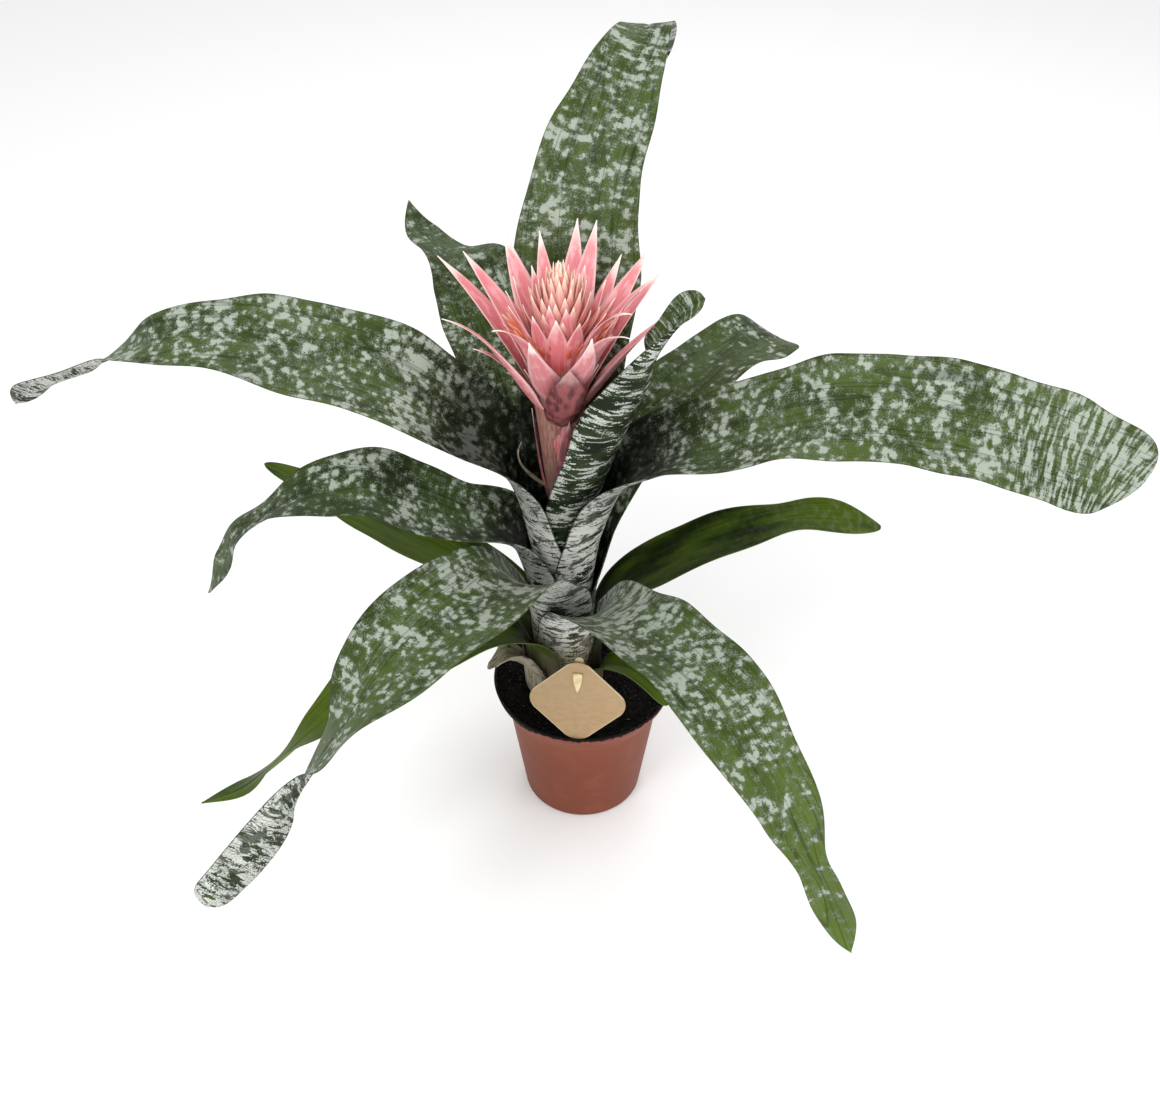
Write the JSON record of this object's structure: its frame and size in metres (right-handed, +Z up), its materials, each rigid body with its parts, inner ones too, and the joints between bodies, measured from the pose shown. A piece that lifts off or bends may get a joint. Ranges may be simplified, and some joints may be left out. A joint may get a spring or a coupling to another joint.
{
  "type": "urn plant in a pot",
  "caption": "Tank bromeliad with arching silver-banded strap leaves and a pink bracted flower head, in a round tapered nursery pot with a blank tag.",
  "frame": {"origin": "centre of the underside of the pot's floor, where the pot stands", "axes": "+Z up; +X to the right when the tag faces the viewer, along the widest spread of the leaves; the tag faces -Y"},
  "size_m": [0.78, 0.4939, 0.5999],
  "materials": {
    "pot": "matte",
    "soil": "rough, crumbly",
    "stem": "rough",
    "leaf_withered": "dry, matte",
    "leaf_green": "satin",
    "leaf_silver": "silver scales in bands over satin green",
    "bract": "satin",
    "spikelet": "satin",
    "cone": "satin",
    "card": "smooth, matte",
    "stake": "smooth"
  },
  "bodies": {
    "root": {"pot": "pot", "soil": "soil", "stem": "stem", "cut_leaf_base": "leaf_withered", "small_leaf_front": "leaf_green", "green_leaf_front_left": "leaf_green", "green_leaf_right": "leaf_green", "green_leaf_back_left": "leaf_green", "leaf_front_right": "leaf_silver", "leaf_front_left": "leaf_silver", "leaf_left": "leaf_silver", "leaf_back_right": "leaf_silver", "leaf_back_left": "leaf_silver", "leaf_right": "leaf_silver", "leaf_upper_left": "leaf_silver", "leaf_back": "leaf_silver", "leaf_inner_front": "leaf_silver", "flower_stalk": "bract", "flower_spikelets": "spikelet", "flower_cone": "cone", "tag_card": "card", "tag_stake": "stake"}
  },
  "joints": []
}
